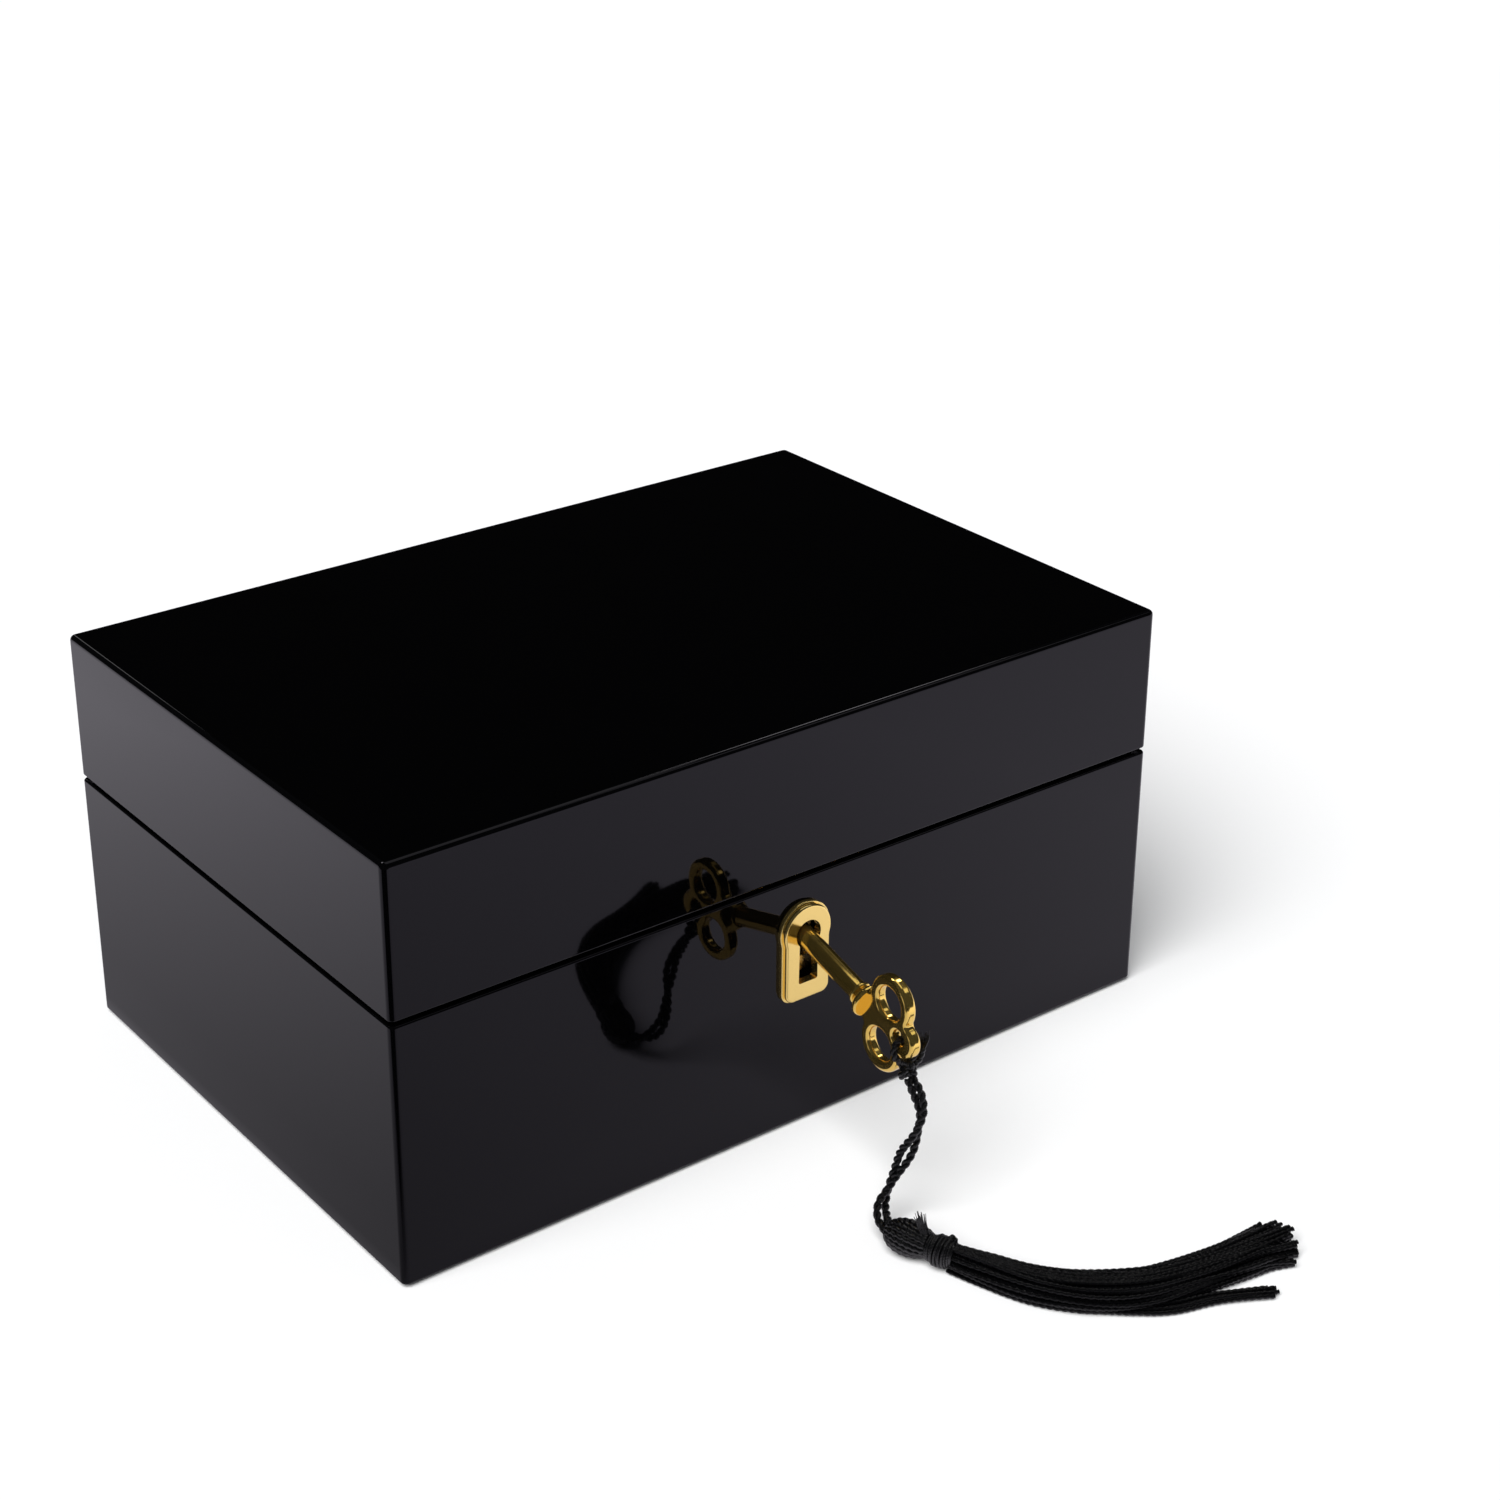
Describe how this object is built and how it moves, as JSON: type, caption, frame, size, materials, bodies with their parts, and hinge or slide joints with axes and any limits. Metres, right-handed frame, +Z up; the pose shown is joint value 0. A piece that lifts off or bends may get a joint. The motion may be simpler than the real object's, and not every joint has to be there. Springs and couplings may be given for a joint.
{
  "type": "jewellery box with mirror",
  "caption": "Black lacquered jewellery box with a hinged lid, mirror inside the lid, lift-out tray, working box lock, and a key with a cord and tassel",
  "frame": {"origin": "centre of the felt under the box, on the table", "axes": "+X along the keyhole side, to the right seen from the front; +Y from the keyhole side to the hinges; +Z up"},
  "size_m": [0.24, 0.2915, 0.114],
  "materials": {
    "black_lacquer": "black piano lacquer over wood, polished to a mirror gloss",
    "black_felt": "thin black felt, matte",
    "grey_suede": "dove-grey suede-like flock cloth, matte",
    "grey_ribbon": "dove-grey satin ribbon",
    "polished_brass": "polished pale-gold plated brass",
    "lock_brass": "brushed brass sheet and castings",
    "lock_steel": "plain steel, lightly brushed",
    "screw_brass": "turned brass wood screws",
    "silvered_mirror": "silvered mirror glass with a bevelled edge",
    "bumper_rubber": "soft dark polyurethane pads",
    "black_cord": "black twisted silky cord and threads"
  },
  "bodies": {
    "base": {"base_front_wall": "black_lacquer", "base_front_lining": "grey_suede", "base_back_wall": "black_lacquer", "base_back_lining": "grey_suede", "base_left_wall": "black_lacquer", "base_left_lining": "grey_suede", "base_right_wall": "black_lacquer", "base_right_lining": "grey_suede", "base_bottom_panel": "black_lacquer", "base_felt": "black_felt", "base_floor_pad": "grey_suede", "keyhole_escutcheon": "polished_brass", "lock_case": "lock_brass", "lock_cap": "lock_brass", "lock_screws": "screw_brass", "hinge_base_screws": "screw_brass", "tassel_cord": "black_cord", "tassel_head": "black_cord", "tassel_binding": "black_cord", "tassel_skirt": "black_cord", "hinge_left_base_leaf": "polished_brass", "hinge_left_pin": "lock_steel", "hinge_right_base_leaf": "polished_brass", "hinge_right_pin": "lock_steel"},
    "tray": {"tray_front_wall": "grey_suede", "tray_back_wall": "grey_suede", "tray_left_wall": "grey_suede", "tray_right_wall": "grey_suede", "tray_floor": "grey_suede", "tray_bay_wall": "grey_suede", "tray_long_divider": "grey_suede", "tray_cross_divider": "grey_suede", "tray_pads": "grey_suede", "ring_rolls": "grey_suede", "tray_left_ribbon": "grey_ribbon", "tray_right_ribbon": "grey_ribbon"},
    "lid": {"lid_front_rail": "black_lacquer", "lid_front_lining": "grey_suede", "lid_back_rail": "black_lacquer", "lid_back_lining": "grey_suede", "lid_left_rail": "black_lacquer", "lid_left_lining": "grey_suede", "lid_right_rail": "black_lacquer", "lid_right_lining": "grey_suede", "lid_top_panel": "black_lacquer", "lid_bumpers": "bumper_rubber", "mirror_surround": "grey_suede", "mirror_glass": "silvered_mirror", "lock_strike": "lock_brass", "strike_screws": "screw_brass", "hinge_lid_screws": "screw_brass", "hinge_left_lid_leaf": "polished_brass", "hinge_right_lid_leaf": "polished_brass"},
    "lock_hub": {"lock_hub": "lock_steel"},
    "lock_bolt": {"lock_bolt": "lock_steel"},
    "key": {"key": "polished_brass", "cord_knot": "black_cord"}
  },
  "joints": [
    {"name": "lid_hinge", "type": "hinge", "parent": "base", "child": "lid", "pos_m": [0, 0.0823, 0.0726], "axis": [-1, 0, 0], "range_deg": [0, 95]},
    {"name": "key_turn", "type": "hinge", "parent": "base", "child": "key", "pos_m": [-0.0004, -0.0824, 0.05588], "axis": [0.0339, 0.9697, 0.2419], "range_deg": [0, 90]},
    {"name": "hub_turn", "type": "hinge", "parent": "base", "child": "lock_hub", "pos_m": [0, -0.076, 0.0568], "axis": [0, 1, 0], "range_deg": [0, 90]},
    {"name": "bolt_slide", "type": "slide", "parent": "base", "child": "lock_bolt", "axis": [1, 0, 0], "range_m": [0, 0.0075]},
    {"name": "tray_lift", "type": "slide", "parent": "base", "child": "tray", "axis": [0, 0, 1], "range_m": [0, 0.026]}
  ],
  "couplings": [
    {"joint": "hub_turn", "follows": "key_turn", "ratio": 1},
    {"joint": "bolt_slide", "follows": "key_turn", "m_per_rad": 0.00477}
  ]
}
